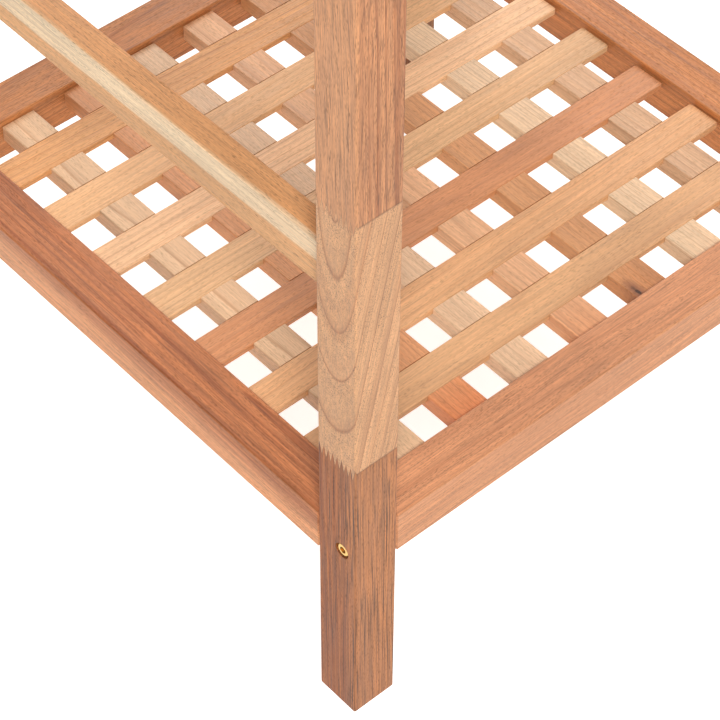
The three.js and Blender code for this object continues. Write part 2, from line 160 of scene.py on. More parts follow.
def makeGrainGroup(sizes, look):
    tree = bpy.data.node_groups.new("walnutGrain", "ShaderNodeTree")
    for name, kind, value in grainSockets:
        tree.interface.new_socket(name=name, in_out="INPUT", socket_type=kind).default_value = value
    tree.interface.new_socket(name="Color", in_out="OUTPUT", socket_type="NodeSocketColor")
    tree.interface.new_socket(name="Roughness", in_out="OUTPUT", socket_type="NodeSocketFloat")
    tree.interface.new_socket(name="Height", in_out="OUTPUT", socket_type="NodeSocketFloat")
    given = tree.nodes.new("NodeGroupInput").outputs

    def scaled(across, along):
        return (1 / across, 1 / across, 1 / along)

    # each board reads the noises at its own distance
    away = addNode(tree, "ShaderNodeCombineXYZ", {0: given["Seed"], 1: given["Seed"], 2: given["Seed"]})
    apart = addNode(tree, "ShaderNodeVectorMath", {0: away.outputs[0], 1: sizes["apart"]},
                    operation="MULTIPLY")
    elsewhere = addNode(tree, "ShaderNodeVectorMath", {0: given["Vector"], 1: apart.outputs[0]},
                        operation="ADD")

    # growth rings about the pith, bent a little as the tree grew
    bend = addNode(tree, "ShaderNodeVectorMath", {0: elsewhere.outputs[0], 1: scaled(*sizes["wobble"])},
                   operation="MULTIPLY")
    wobble = addNode(tree, "ShaderNodeTexNoise", {"Vector": bend.outputs[0], "Scale": 1, "Detail": 2})
    centred = addNode(tree, "ShaderNodeVectorMath", {0: wobble.outputs[1], 1: (0.5, 0.5, 0.5)},
                      operation="SUBTRACT")
    sway = addNode(tree, "ShaderNodeVectorMath", {0: centred.outputs[0], "Scale": given["Wander"]},
                   operation="SCALE")
    bent = addNode(tree, "ShaderNodeVectorMath", {0: given["Vector"], 1: sway.outputs[0]}, operation="ADD")
    flat = addNode(tree, "ShaderNodeVectorMath", {0: bent.outputs[0], 1: (1, 1, 0)}, operation="MULTIPLY")
    radius = addNode(tree, "ShaderNodeVectorMath", {0: flat.outputs[0]}, operation="LENGTH").outputs[1]
    rings = addNode(tree, "ShaderNodeMath", {0: radius, 1: given["Ring width"]}, operation="DIVIDE")
    spread = addNode(tree, "ShaderNodeMath", {0: radius, 1: 1 / sizes["unevenRings"], 2: given["Seed"]},
                     operation="MULTIPLY_ADD")
    uneven = addNode(tree, "ShaderNodeTexNoise", {"W": spread.outputs[0], "Scale": 1, "Detail": 1},
                     noise_dimensions="1D")
    phase = addNode(tree, "ShaderNodeMath", {0: uneven.outputs[0], 1: 0.9, 2: rings.outputs[0]},
                    operation="MULTIPLY_ADD")
    within = addNode(tree, "ShaderNodeMath", {0: phase.outputs[0]}, operation="FRACT")
    ringNumber = addNode(tree, "ShaderNodeMath", {0: phase.outputs[0]}, operation="FLOOR")
    ringSeed = addNode(tree, "ShaderNodeMath", {0: ringNumber.outputs[0], 1: given["Seed"]},
                       operation="ADD")
    ringTone = addNode(tree, "ShaderNodeTexWhiteNoise", {"W": ringSeed.outputs[0]}, noise_dimensions="1D")
    # pale early wood, darker towards the end of the season, then a thin dark line
    season = addNode(tree, "ShaderNodeValToRGB", {"Fac": within.outputs[0]})
    ramp = season.color_ramp
    ends = {0.0: 0, 1.0: -1}  # the two stops that a ramp starts with
    for place, shade in look["season"]:
        stop = ramp.elements[ends[place]] if place in ends else ramp.elements.new(place)
        stop.color = (shade, shade, shade, 1)
    toneShare = addNode(tree, "ShaderNodeMath", {0: ringTone.outputs[0], 1: 0.9, 2: 0.55},
                        operation="MULTIPLY_ADD")
    lateShare = addNode(tree, "ShaderNodeMath", {0: season.outputs[0], 1: toneShare.outputs[0]},
                        operation="MULTIPLY")
    late = addNode(tree, "ShaderNodeMath", {0: lateShare.outputs[0], 1: given["Figure"]},
                   operation="MULTIPLY", use_clamp=True)
    # the season's last cells make one crisp line
    fromLine = addNode(tree, "ShaderNodeMath", {0: phase.outputs[0], 1: 0.5}, operation="PINGPONG")
    line = addNode(tree, "ShaderNodeMapRange",
                   {"Value": fromLine.outputs[0], "From Min": given["Line width"], "From Max": 0,
                    "To Min": 0, "To Max": given["Line"]})

    # mineral streaks follow the rings but run on for a long way
    parts = addNode(tree, "ShaderNodeSeparateXYZ", {0: bent.outputs[0]})
    bandAcross = addNode(tree, "ShaderNodeMath", {0: radius, 1: 1 / sizes["streakBand"][0]},
                         operation="MULTIPLY")
    bandAlong = addNode(tree, "ShaderNodeMath", {0: parts.outputs[2], 1: 1 / sizes["streakBand"][1]},
                        operation="MULTIPLY")
    bandPlace = addNode(tree, "ShaderNodeCombineXYZ",
                        {0: bandAcross.outputs[0], 1: given["Seed"], 2: bandAlong.outputs[0]})
    band = addNode(tree, "ShaderNodeTexNoise",
                   {"Vector": bandPlace.outputs[0], "Scale": 1, "Detail": 4, "Roughness": 0.62})
    bandShare = addNode(tree, "ShaderNodeMapRange",
                        {"Value": band.outputs[0], "From Min": 0.45, "From Max": 0.68})
    streak = addNode(tree, "ShaderNodeMath", {0: bandShare.outputs[0], 1: given["Streaks"]},
                     operation="MULTIPLY", use_clamp=True)

    # fibres in two sizes, long hairlines and slow blotches
    bentAway = addNode(tree, "ShaderNodeVectorMath", {0: bent.outputs[0], 1: apart.outputs[0]},
                       operation="ADD")
    texture = {}
    for name, detail in (("fibre", 3), ("hairline", 2), ("softFibre", 2), ("blotch", 2)):
        place = addNode(tree, "ShaderNodeVectorMath", {0: bentAway.outputs[0], 1: scaled(*sizes[name])},
                        operation="MULTIPLY")
        texture[name] = addNode(tree, "ShaderNodeTexNoise",
                                {"Vector": place.outputs[0], "Scale": 1, "Detail": detail,
                                 "Roughness": 0.6}).outputs[0]

    # pores: short tubes along the grain, thickest in the early wood
    poreStretch = addNode(tree, "ShaderNodeCombineXYZ",
                          {0: sizes["poreWidth"], 1: sizes["poreWidth"], 2: given["Pore length"]})
    porePlace = addNode(tree, "ShaderNodeVectorMath", {0: bentAway.outputs[0], 1: poreStretch.outputs[0]},
                        operation="DIVIDE")
    poreCell = addNode(tree, "ShaderNodeTexVoronoi", {"Vector": porePlace.outputs[0], "Scale": 1},
                       feature="F1")
    poreCore = addNode(tree, "ShaderNodeMapRange",
                       {"Value": poreCell.outputs[0], "From Min": 0.55, "From Max": 0.2})
    poreKind = addNode(tree, "ShaderNodeSeparateColor", {0: poreCell.outputs[1]})
    poreSome = addNode(tree, "ShaderNodeMapRange",
                       {"Value": poreKind.outputs[0], "From Min": 0.1, "From Max": 0.9})
    poreSeason = addNode(tree, "ShaderNodeMapRange",
                         {"Value": within.outputs[0], "From Min": 0.95, "From Max": 0.3, "To Min": 0.35})
    poreHere = addNode(tree, "ShaderNodeMath", {0: poreCore.outputs[0], 1: poreSome.outputs[0]},
                       operation="MULTIPLY")
    pore = addNode(tree, "ShaderNodeMath", {0: poreHere.outputs[0], 1: poreSeason.outputs[0]},
                   operation="MULTIPLY").outputs[0]

    # colour: rings, streaks, then the outer wood, then fibres and pores as light and dark
    ringColour = addNode(tree, "ShaderNodeMix", {0: late.outputs[0], 6: given["Early"], 7: given["Late"]},
                         data_type="RGBA")
    streakColour = addNode(tree, "ShaderNodeMix",
                           {0: streak.outputs[0], 6: ringColour.outputs[2], 7: given["Streak"]},
                           data_type="RGBA")
    outerBy = addNode(tree, "ShaderNodeMath", {0: radius, 1: given["Outer radius"]}, operation="SUBTRACT")
    outerShare = addNode(tree, "ShaderNodeMath", {0: outerBy.outputs[0], 1: given["Outer softness"]},
                         operation="DIVIDE")
    ragged = addNode(tree, "ShaderNodeMath", {0: texture["softFibre"], 1: outerShare.outputs[0]},
                     operation="ADD", use_clamp=True)
    outerShown = addNode(tree, "ShaderNodeMath", {0: ragged.outputs[0], 1: look["outerShare"]},
                         operation="MULTIPLY")
    wood = addNode(tree, "ShaderNodeMix",
                   {0: outerShown.outputs[0], 6: streakColour.outputs[2], 7: given["Outer"]},
                   data_type="RGBA")
    lined = addNode(tree, "ShaderNodeMix", {0: line.outputs[0], 6: wood.outputs[2], 7: given["Streak"]},
                    data_type="RGBA")
    shades = {}
    for name in ("fibre", "softFibre", "blotch"):
        darkest, lightest = look[name]
        shades[name] = addNode(tree, "ShaderNodeMapRange",
                               {"Value": texture[name], "From Min": 0.25, "From Max": 0.75,
                                "To Min": darkest, "To Max": lightest}).outputs[0]
    poreDepth = addNode(tree, "ShaderNodeMath", {0: pore, 1: given["Pores"]}, operation="MULTIPLY")
    poreShade = addNode(tree, "ShaderNodeMath", {0: 1.0, 1: poreDepth.outputs[0]}, operation="SUBTRACT")
    shadeBoth = addNode(tree, "ShaderNodeMath", {0: shades["fibre"], 1: shades["softFibre"]},
                        operation="MULTIPLY")
    shade = addNode(tree, "ShaderNodeMix", {0: given["Fibres"], 2: 1.0, 3: shadeBoth.outputs[0]},
                    clamp_factor=False)
    hairline = addNode(tree, "ShaderNodeMapRange",
                       {"Value": texture["hairline"], "From Min": 0.5, "From Max": 0.68, "To Min": 0,
                        "To Max": given["Hairlines"]})
    hairShade = addNode(tree, "ShaderNodeMath", {0: 1.0, 1: hairline.outputs[0]}, operation="SUBTRACT")
    for part in (shades["blotch"], hairShade.outputs[0], poreShade.outputs[0]):
        shade = addNode(tree, "ShaderNodeMath", {0: shade.outputs[0], 1: part}, operation="MULTIPLY")
    colour = addNode(tree, "ShaderNodeVectorMath", {0: lined.outputs[2], "Scale": shade.outputs[0]},
                     operation="SCALE")

    smoothest, roughest = look["roughness"]
    roughness = addNode(tree, "ShaderNodeMapRange",
                        {"Value": texture["softFibre"], "From Min": 0.3, "From Max": 0.7,
                         "To Min": smoothest, "To Max": roughest})
    poreRough = addNode(tree, "ShaderNodeMath",
                        {0: pore, 1: look["poreRoughness"], 2: roughness.outputs[0]},
                        operation="MULTIPLY_ADD")
    fibreHeight = addNode(tree, "ShaderNodeMath", {0: texture["fibre"], 1: 0.5}, operation="MULTIPLY")
    height = addNode(tree, "ShaderNodeMath", {0: fibreHeight.outputs[0], 1: pore}, operation="SUBTRACT")
    addNode(tree, "NodeGroupOutput", {"Color": colour.outputs[0], "Roughness": poreRough.outputs[0],
                                      "Height": height.outputs[0]})
    return tree


grainGroup = makeGrainGroup(grainSizes, grainLook)

# Each board is cut from its own place in the trunk, and reads the noises from its own seed
seedStart = {"leg": 0, "rail": 3.3, "slat": 50}
seedStep = {"leg": 5.1, "block": 2.3, "rail": 2.9, "slat": 1.7}
crossAxes = {"x": "yz", "y": "xz", "z": "xy"}
axisVector = {"x": Vector((1, 0, 0)), "y": Vector((0, 1, 0)), "z": Vector((0, 0, 1))}
woodShades = {
    "early": 1.16,  # of the board's tone; late wood and streaks as red, green and blue shares of it
    "late": (0.72, 0.6, 0.52),
    "streak": (0.6, 0.44, 0.36),
}
plainBoard = {
    "heart": (60, 30),  # pith from the board's middle along its two cross axes, mm
    "lean": (0.6, 0.4),  # grain against the board's length, degrees
    "ringWidth": 4.5,
    "wander": 6,
    "outer": "#e8c79f",
    "outerRadius": 500,
    "outerSoftness": 4,
    "figure": 0.6,
    "line": 0.0,
    "lineWidth": 0.05,
    "fibres": 1.0,
    "hairlines": 0.3,
    "streaks": 0.4,
    "pores": 0.5,
    "poreLength": 4,
}


def layBoard(tree, coordinates, middle, grain, tone, seed, look):
    # one board's grain, as a group node; middle is a point in metres
    look = {**plainBoard, **look}
    first, second = (axisVector[axis] for axis in crossAxes[grain])
    leanFirst, leanSecond = (math.tan(math.radians(angle)) for angle in look["lean"])
    trunk = (axisVector[grain] + first * leanFirst + second * leanSecond).normalized()
    side = (first - trunk * first.dot(trunk)).normalized()
    turn = Matrix((side, trunk.cross(side), trunk))
    pith = Vector(middle) / mm + first * look["heart"][0] + second * look["heart"][1]
    trunkPlace = addNode(tree, "ShaderNodeMapping",
                         {"Vector": coordinates, "Location": -(turn @ pith), "Rotation": turn.to_euler(),
                          "Scale": (1 / mm, 1 / mm, 1 / mm)})
    base = linearColour(tone)[:3]
    early = [min(1, channel * woodShades["early"]) for channel in base]
    late, streak = ([channel * share for channel, share in zip(base, woodShades[name])]
                    for name in ("late", "streak"))
    board = addNode(tree, "ShaderNodeGroup", node_tree=grainGroup)
    values = {
        "Seed": seed, "Ring width": look["ringWidth"], "Wander": look["wander"],
        "Early": early + [1], "Late": late + [1], "Streak": streak + [1],
        "Outer": linearColour(look["outer"]), "Outer radius": look["outerRadius"],
        "Outer softness": look["outerSoftness"], "Figure": look["figure"], "Line": look["line"],
        "Line width": look["lineWidth"], "Hairlines": look["hairlines"], "Streaks": look["streaks"],
        "Fibres": look["fibres"], "Pores": look["pores"], "Pore length": look["poreLength"],
    }
    for name, value in values.items():
        board.inputs[name].default_value = value
    tree.links.new(trunkPlace.outputs[0], board.inputs["Vector"])
    return board


def endGrain(tree, grain, place):
    # 1 where a face is cut across the grain, 0 along it
    facing = addNode(tree, "ShaderNodeVectorMath", {0: place.outputs["Normal"], 1: axisVector[grain]},
                     operation="DOT_PRODUCT")
    size = addNode(tree, "ShaderNodeMath", {0: facing.outputs[1]}, operation="ABSOLUTE")
    return addNode(tree, "ShaderNodeMapRange",
                   {"Value": size.outputs[0], "From Min": 0.6, "From Max": 0.9}).outputs[0]


oilFinish = {
    "endTone": (0.72, 0.66, 0.6, 1),  # end grain drinks the oil, so it is darker and duller
    "endRoughness": 0.2,
    "reliefStrength": 0.35,
    "reliefDepth": 0.2,  # mm
}


def finishWood(tree, grain, place, colour, roughness, height):
    look = oilFinish
    ends = endGrain(tree, grain, place)
    soaked = addNode(tree, "ShaderNodeMix", {0: ends, 6: colour, 7: look["endTone"]}, data_type="RGBA",
                     blend_type="MULTIPLY")
    dull = addNode(tree, "ShaderNodeMath", {0: ends, 1: look["endRoughness"], 2: roughness},
                   operation="MULTIPLY_ADD")
    relief = addNode(tree, "ShaderNodeBump", {"Strength": look["reliefStrength"],
                                              "Distance": look["reliefDepth"] * mm, "Height": height})
    surface = addNode(tree, "ShaderNodeBsdfPrincipled",
                      {"Base Color": soaked.outputs[2], "Roughness": dull.outputs[0], "IOR": 1.45,
                       "Normal": relief.outputs[0]})
    addNode(tree, "ShaderNodeOutputMaterial", {"Surface": surface.outputs[0]})


def addTail(tree, coordinates, colour, low, grain, tail):
    # a board that changes tone towards its low end: tail is its tone there, as a share, and its reach in mm
    parts = addNode(tree, "ShaderNodeSeparateXYZ", {0: coordinates})
    axis = "xyz".index(grain)
    reach = low[axis] + tail["reach"] * mm
    share = addNode(tree, "ShaderNodeMapRange",
                    {"Value": parts.outputs[axis], "From Min": low[axis], "From Max": reach, "To Min": 1,
                     "To Max": 0}, interpolation_type="SMOOTHSTEP")
    return addNode(tree, "ShaderNodeMix", {0: share.outputs[0], 6: colour, 7: (*tail["share"], 1)},
                   data_type="RGBA", blend_type="MULTIPLY").outputs[2]


def knotPlace(tree, coordinates, low, knot):
    # how far out of a knot a point is: 1 at its edge. Its middle is given from the board's low corner, in mm
    middle = low + Vector(knot["middle"]) * mm
    fromKnot = addNode(tree, "ShaderNodeVectorMath", {0: coordinates, 1: middle}, operation="SUBTRACT")
    size = addNode(tree, "ShaderNodeVectorMath", {0: fromKnot.outputs[0], 1: Vector(knot["size"]) * mm},
                   operation="DIVIDE")
    ragged = addNode(tree, "ShaderNodeTexNoise",
                     {"Vector": coordinates, "Scale": 1 / (knot["raggedSize"] * mm), "Detail": 3})
    length = addNode(tree, "ShaderNodeVectorMath", {0: size.outputs[0]}, operation="LENGTH")
    out = addNode(tree, "ShaderNodeMath", {0: ragged.outputs[0], 1: knot["ragged"], 2: length.outputs[1]},
                  operation="MULTIPLY_ADD")
    return fromKnot.outputs[0], out.outputs[0]


def boardMaterial(nodeName, grain, tone, seed, look):
    material, tree = newMaterial("oiledWalnut_" + nodeName)
    place = addNode(tree, "ShaderNodeTexCoord")
    coordinates = place.outputs["Object"]
    low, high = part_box(nodeName)
    knot = look.get("knot")
    if knot:
        # the grain swerves round the knot
        fromKnot, out = knotPlace(tree, coordinates, low, knot)
        near = addNode(tree, "ShaderNodeMapRange",
                       {"Value": out, "From Min": 3.4, "From Max": 0.6, "To Max": knot["swerve"]})
        push = addNode(tree, "ShaderNodeVectorMath", {0: fromKnot, "Scale": near.outputs[0]},
                       operation="SCALE")
        coordinates = addNode(tree, "ShaderNodeVectorMath", {0: coordinates, 1: push.outputs[0]},
                              operation="ADD").outputs[0]
    board = layBoard(tree, coordinates, (low + high) / 2, grain, tone, seed, look)
    colour, roughness, height = board.outputs
    if "tail" in look:
        colour = addTail(tree, place.outputs["Object"], colour, low, grain, look["tail"])
    if knot:
        for zone, outer, inner in (("rim", 2.0, 1.0), ("core", 0.95, 0.7)):
            share = addNode(tree, "ShaderNodeMapRange",
                            {"Value": out, "From Min": outer, "From Max": inner, "To Max": 0.85})
            knotted = addNode(tree, "ShaderNodeMix",
                              {0: share.outputs[0], 6: colour, 7: linearColour(knot[zone])},
                              data_type="RGBA")
            colour = knotted.outputs[2]
    finishWood(tree, grain, place, colour, roughness, height)
    return material


chanceLean = 1.5  # degrees at most


def chanceCut(near, far):
    # a pith somewhere round the board, near to far mm from its middle, and a slight lean
    angle = chance.uniform(0, 2 * math.pi)
    distance = chance.uniform(near, far)
    return {"heart": (distance * math.cos(angle), distance * math.sin(angle)),
            "lean": (chance.uniform(-chanceLean, chanceLean), chance.uniform(-chanceLean, chanceLean))}


# Legs are glued up from three blocks with finger joints
legLook = {
    "jointHeights": (253, 468),  # mm from the floor
    "heartDistance": (45, 110),  # of the other legs' boards
    "fingerPitch": 4.2,
    "fingerLength": 10,
    "glueLine": 0.3,
    "glueShade": 0.62,
    "tones": ("#a96432", "#d09d72", "#c2865b"),
    "blocks": (
        {"heart": (-95, 70), "lean": (-0.5, 0.4), "ringWidth": 3.6, "figure": 0.8, "streaks": 1.0,
         "pores": 0.5, "fibres": 1.15, "hairlines": 0.9, "outer": "#c28050", "outerRadius": 114,
         "outerSoftness": 14},
        {"heart": (-45.5, 1), "lean": (12, 0), "ringWidth": 9.6, "wander": 1.2, "figure": 0.3, "line": 0.8,
         "lineWidth": 0.05, "streaks": 0.3, "pores": 0.7, "poreLength": 1.2, "hairlines": 0.2},
        {"heart": (60, -70), "lean": (1.2, 2.4), "ringWidth": 5, "figure": 0.8, "streaks": 0.7,
         "hairlines": 0.5, "outer": "#d79a6c", "outerRadius": 94, "outerSoftness": 12},
    ),
}


def legMaterial(nodeName, seed, look, tones, blocks):
    material, tree = newMaterial("oiledWalnut_" + nodeName)
    place = addNode(tree, "ShaderNodeTexCoord")
    coordinates = place.outputs["Object"]
    low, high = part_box(nodeName)
    middle = (low + high) / 2
    parts = addNode(tree, "ShaderNodeSeparateXYZ", {0: coordinates})
    teeth = addNode(tree, "ShaderNodeMath", {0: parts.outputs[1], 1: look["fingerPitch"] * mm / 2},
                    operation="PINGPONG")
    slope = 2 * look["fingerLength"] / look["fingerPitch"]
    edge = addNode(tree, "ShaderNodeMath", {0: teeth.outputs[0], 1: slope, 2: parts.outputs[2]},
                   operation="MULTIPLY_ADD")
    bottoms = [0] + [height * mm for height in look["jointHeights"]]
    tops = bottoms[1:] + [high.z]
    shown = None
    for index, block in enumerate(blocks):
        centre = Vector((middle.x, middle.y, (bottoms[index] + tops[index]) / 2))
        board = layBoard(tree, coordinates, centre, "z", tones[index],
                         seed + index * seedStep["block"], block)
        if shown is None:
            shown = list(board.outputs)
            continue
        joint = bottoms[index] + look["fingerLength"] * mm / 2
        above = addNode(tree, "ShaderNodeMath", {0: edge.outputs[0], 1: joint}, operation="SUBTRACT")
        isAbove = addNode(tree, "ShaderNodeMapRange",
                          {"Value": above.outputs[0], "From Min": -look["glueLine"] * mm,
                           "From Max": look["glueLine"] * mm})
        away = addNode(tree, "ShaderNodeMath", {0: above.outputs[0]}, operation="ABSOLUTE")
        glue = addNode(tree, "ShaderNodeMapRange",
                       {"Value": away.outputs[0], "From Min": 0, "From Max": look["glueLine"] * mm * slope,
                        "To Min": look["glueShade"], "To Max": 1})
        colour = addNode(tree, "ShaderNodeMix", {0: isAbove.outputs[0], 6: shown[0], 7: board.outputs[0]},
                         data_type="RGBA")
        glued = addNode(tree, "ShaderNodeVectorMath", {0: colour.outputs[2], "Scale": glue.outputs[0]},
                        operation="SCALE")
        rough = addNode(tree, "ShaderNodeMix", {0: isAbove.outputs[0], 2: shown[1], 3: board.outputs[1]})
        height = addNode(tree, "ShaderNodeMix", {0: isAbove.outputs[0], 2: shown[2], 3: board.outputs[2]})
        shown = [glued.outputs[0], rough.outputs[0], height.outputs[0]]
    finishWood(tree, "z", place, *shown)
    return material


for index, nodeName in enumerate(("leg_front_left", "leg_front_right", "leg_back_left", "leg_back_right")):
    blocks = legLook["blocks"]
    tones = legLook["tones"]
    if index:
        blocks = [{**block, **chanceCut(*legLook["heartDistance"])} for block in blocks]
        tones = chance.sample(tones, 3)
    seed = seedStart["leg"] + seedStep["leg"] * index
    dress(nodeName, legMaterial(nodeName, seed, legLook, tones, blocks))
print("legs dressed")

# Rails, stretchers and battens: one board each
railLook = {
    "side_rail_lower_left": ("y", "#bd7647", {"heart": (14, 26), "ringWidth": 4, "outer": "#f4ab78",
                                              "outerRadius": 38, "outerSoftness": 9, "streaks": 0.8,
                                              "figure": 0.6, "lean": (0.3, 0.9)}),
    "side_rail_lower_right": ("y", "#c7824c", {"heart": (-50, 34)}),
    "cross_rail_lower_front": ("x", "#d39469", {"heart": (22, -64), "lean": (0.5, 1.0), "figure": 0.45,
                                                "streaks": 0.3, "fibres": 0.85, "pores": 0.45,
                                                "poreLength": 3}),
    "cross_rail_lower_back": ("x", "#c5834f", {"heart": (-6, -46), "lean": (0.2, 2.2), "ringWidth": 4.6,
                                               "figure": 0.85}),
    "side_rail_top_left": ("y", "#c98d66", {"heart": (40, -52)}),
    "side_rail_top_right": ("y", "#d39a70", {"heart": (-30, -60)}),
    "cross_rail_top_front": ("x", "#cf936b", {"heart": (48, 38)}),
    "cross_rail_top_back": ("x", "#d6a077", {"heart": (-44, 51)}),
    "stretcher_left": ("y", "#f0d3ad", {"heart": (-14, 8), "lean": (0.1, -0.5), "ringWidth": 3.4,
                                        "outer": "#dc9c60", "outerRadius": 10, "outerSoftness": 2,
                                        "figure": 0.4, "streaks": 0.3, "fibres": 0.8, "hairlines": 0.2}),
    "stretcher_right": ("y", "#dcae82", {"heart": (35, -30)}),
    "deck_batten_left": ("y", "#d8a67c", {"heart": (30, 42)}),
    "deck_batten_right": ("y", "#cf986e", {"heart": (-36, 30)}),
}
for index, (nodeName, (grain, tone, look)) in enumerate(railLook.items()):
    seed = seedStart["rail"] + seedStep["rail"] * index
    dress(nodeName, boardMaterial(nodeName, grain, tone, seed, look))
print("rails, stretchers and battens dressed")

# Shelf and deck slats, numbered from the front or from the left
slatLook = {
    "shelf_slat": {"grain": "x", "tones": ("#d8a879", "#dca877", "#cc8d5f", "#dcb081", "#f0c193", "#e9b885",
                                           "#dda36a")},
    "shelf_bearer": {"grain": "y", "tones": ("#dbb68f", "#da9b6a", "#e0bc97", "#e1af84", "#cd9565", "#e6c6a0",
                                             "#d5ac85")},
    "deck_slat": {"grain": "x", "tones": ("#d2986f", "#dba880", "#c98c66", "#deae86", "#d49a72", "#e0b58d",
                                          "#cd936c")},
}
slatHeartDistance = (30, 90)
slatCut = {"fibres": 0.6, "hairlines": 0.14, "pores": 0.35}
slatChances = {"ringWidth": (3, 6), "figure": (0.3, 0.65), "streaks": (0.05, 0.35)}
specialCuts = {
    "shelf_bearer_2": {"tail": {"share": (0.98, 0.72, 0.58), "reach": 70}},
    "shelf_bearer_4": {"tail": {"share": (0.98, 0.82, 0.72), "reach": 80}},
    "shelf_bearer_5": {"tail": {"share": (0.85, 0.74, 0.64), "reach": 75},
                       "knot": {"middle": (4.5, 15, 12), "size": (4, 12, 9), "rim": "#8a573a",
                                "core": "#2c1d18", "swerve": 0.45, "ragged": 0.9, "raggedSize": 3}},
}
for family, look in slatLook.items():
    for index, tone in enumerate(look["tones"]):
        nodeName = f"{family}_{index + 1}"
        cut = {**chanceCut(*slatHeartDistance), **slatCut}
        for name, (least, most) in slatChances.items():
            cut[name] = chance.uniform(least, most)
        cut.update(specialCuts.get(nodeName, {}))
        seed = seedStart["slat"] + seedStep["slat"] * index
        dress(nodeName, boardMaterial(nodeName, look["grain"], tone, seed, cut))
print("slats dressed")


# Metals. Lacquered brass, turned or brushed along X: warm yellow with fine scratches and duller clouds.
# Zinc-plated steel, on the barrel nuts and the batten screws: pale grey, scratched upright.
metalLook = {
    "dull": (0.72, 0.66, 0.58),  # tarnished, as red, green and blue shares of the bright metal
    "most": 0.7,
    "cloudScale": 160,
    "scratchDepth": 0.05,  # mm
    "scratchStrength": 0.25,
    "drawnOut": 0.96,  # 1 would make the scratches endless
}


def metalMaterial(name, tone, roughness, grain, scratchWidth):
    material, tree = newMaterial(name)
    place = addNode(tree, "ShaderNodeTexCoord")
    stretch = Vector((1, 1, 1)) / (scratchWidth * mm)
    stretch -= axisVector[grain] * (stretch.x * metalLook["drawnOut"])
    scratchPlace = addNode(tree, "ShaderNodeVectorMath", {0: place.outputs["Object"], 1: stretch},
                           operation="MULTIPLY")
    scratch = addNode(tree, "ShaderNodeTexNoise",
                      {"Vector": scratchPlace.outputs[0], "Scale": 1, "Detail": 3})
    cloud = addNode(tree, "ShaderNodeTexNoise",
                    {"Vector": place.outputs["Object"], "Scale": metalLook["cloudScale"], "Detail": 3})
    bright = linearColour(tone)
    dull = [channel * share for channel, share in zip(bright, metalLook["dull"])] + [1]
    tarnish = addNode(tree, "ShaderNodeMapRange",
                      {"Value": cloud.outputs[0], "From Min": 0.4, "From Max": 0.75,
                       "To Max": metalLook["most"]})
    colour = addNode(tree, "ShaderNodeMix", {0: tarnish.outputs[0], 6: bright, 7: dull}, data_type="RGBA")
    rough = addNode(tree, "ShaderNodeMapRange",
                    {"Value": scratch.outputs[0], "From Min": 0.3, "From Max": 0.7,
                     "To Min": roughness * 0.8, "To Max": roughness * 1.3})
    relief = addNode(tree, "ShaderNodeBump",
                     {"Strength": metalLook["scratchStrength"],
                      "Distance": metalLook["scratchDepth"] * mm, "Height": scratch.outputs[0]})
    surface = addNode(tree, "ShaderNodeBsdfPrincipled",
                      {"Base Color": colour.outputs[2], "Metallic": 1.0, "Roughness": rough.outputs[0],
                       "Normal": relief.outputs[0]})
    addNode(tree, "ShaderNodeOutputMaterial", {"Surface": surface.outputs[0]})
    return material


boltBrass = metalMaterial("lacqueredBrass_bolts", "#e3bf74", 0.3, "x", 0.3)
hingeBrass = metalMaterial("brushedBrass_hinges", "#d9b266", 0.34, "x", 0.25)
nutZinc = metalMaterial("zincPlatedSteel_nuts", "#c9ccd0", 0.38, "z", 0.3)
for nodeName in nodes:
    if nodeName.startswith("hinge_"):
        dress(nodeName, hingeBrass)
    elif nodeName.startswith("barrel_nut_"):
        dress(nodeName, nutZinc)
print("metal dressed")

# Screws and bolts: a turned blank is set on every place, facing out of its surface, and its recess is cut
# by the nodes. Profiles are radius and height in mm from the axis at the top to the axis at the tip.
# A recess reaches as far above the surface as below it: under the raised head of a batten screw it is only
# a hidden slit, and the head's top stays plain.
screwLook = {
    "hinge": {"blank": ((0, -0.1), (1.6, -0.12), (2.8, -0.2), (3.4, -0.32), (3.5, -0.5), (2.0, -2.0),
                        (1.7, -2.4), (1.7, -8), (0.4, -10.5), (0, -10.6)),
              "recess": {"Hexagon": False, "Recess width": 1.1, "Recess length": 4.2, "Recess depth": 1.3},
              "fromEnd": 8, "fromEdge": 10},
    "batten": {"blank": ((0, 2.4), (1.6, 2.3), (2.9, 1.9), (3.7, 1.2), (4.0, 0.4), (4.0, 0), (2.0, 0),
                         (2.0, -21), (0.4, -25), (0, -25.2)),
               "recess": {"Hexagon": False, "Recess width": 1.3, "Recess length": 4.8, "Recess depth": 0.1},
               "fromEnd": 9},
    "bolt": {"headDiameter": 10, "headHeight": 6, "shankDiameter": 6,
             "rim": 0.7, "tip": 0.8,  # what is rounded or chamfered off
             "recess": {"Hexagon": True, "Recess width": 5, "Recess depth": 3}},
}
fastenerSockets = (
    ("Places", "NodeSocketGeometry"),
    ("Blank", "NodeSocketObject"),
    ("Hexagon", "NodeSocketBool"),  # a hexagon socket, or else a cross recess
    ("Recess width", "NodeSocketFloat"),
    ("Recess length", "NodeSocketFloat"),
    ("Recess depth", "NodeSocketFloat"),
    ("Turn seed", "NodeSocketInt"),
    ("Material", "NodeSocketMaterial"),
)


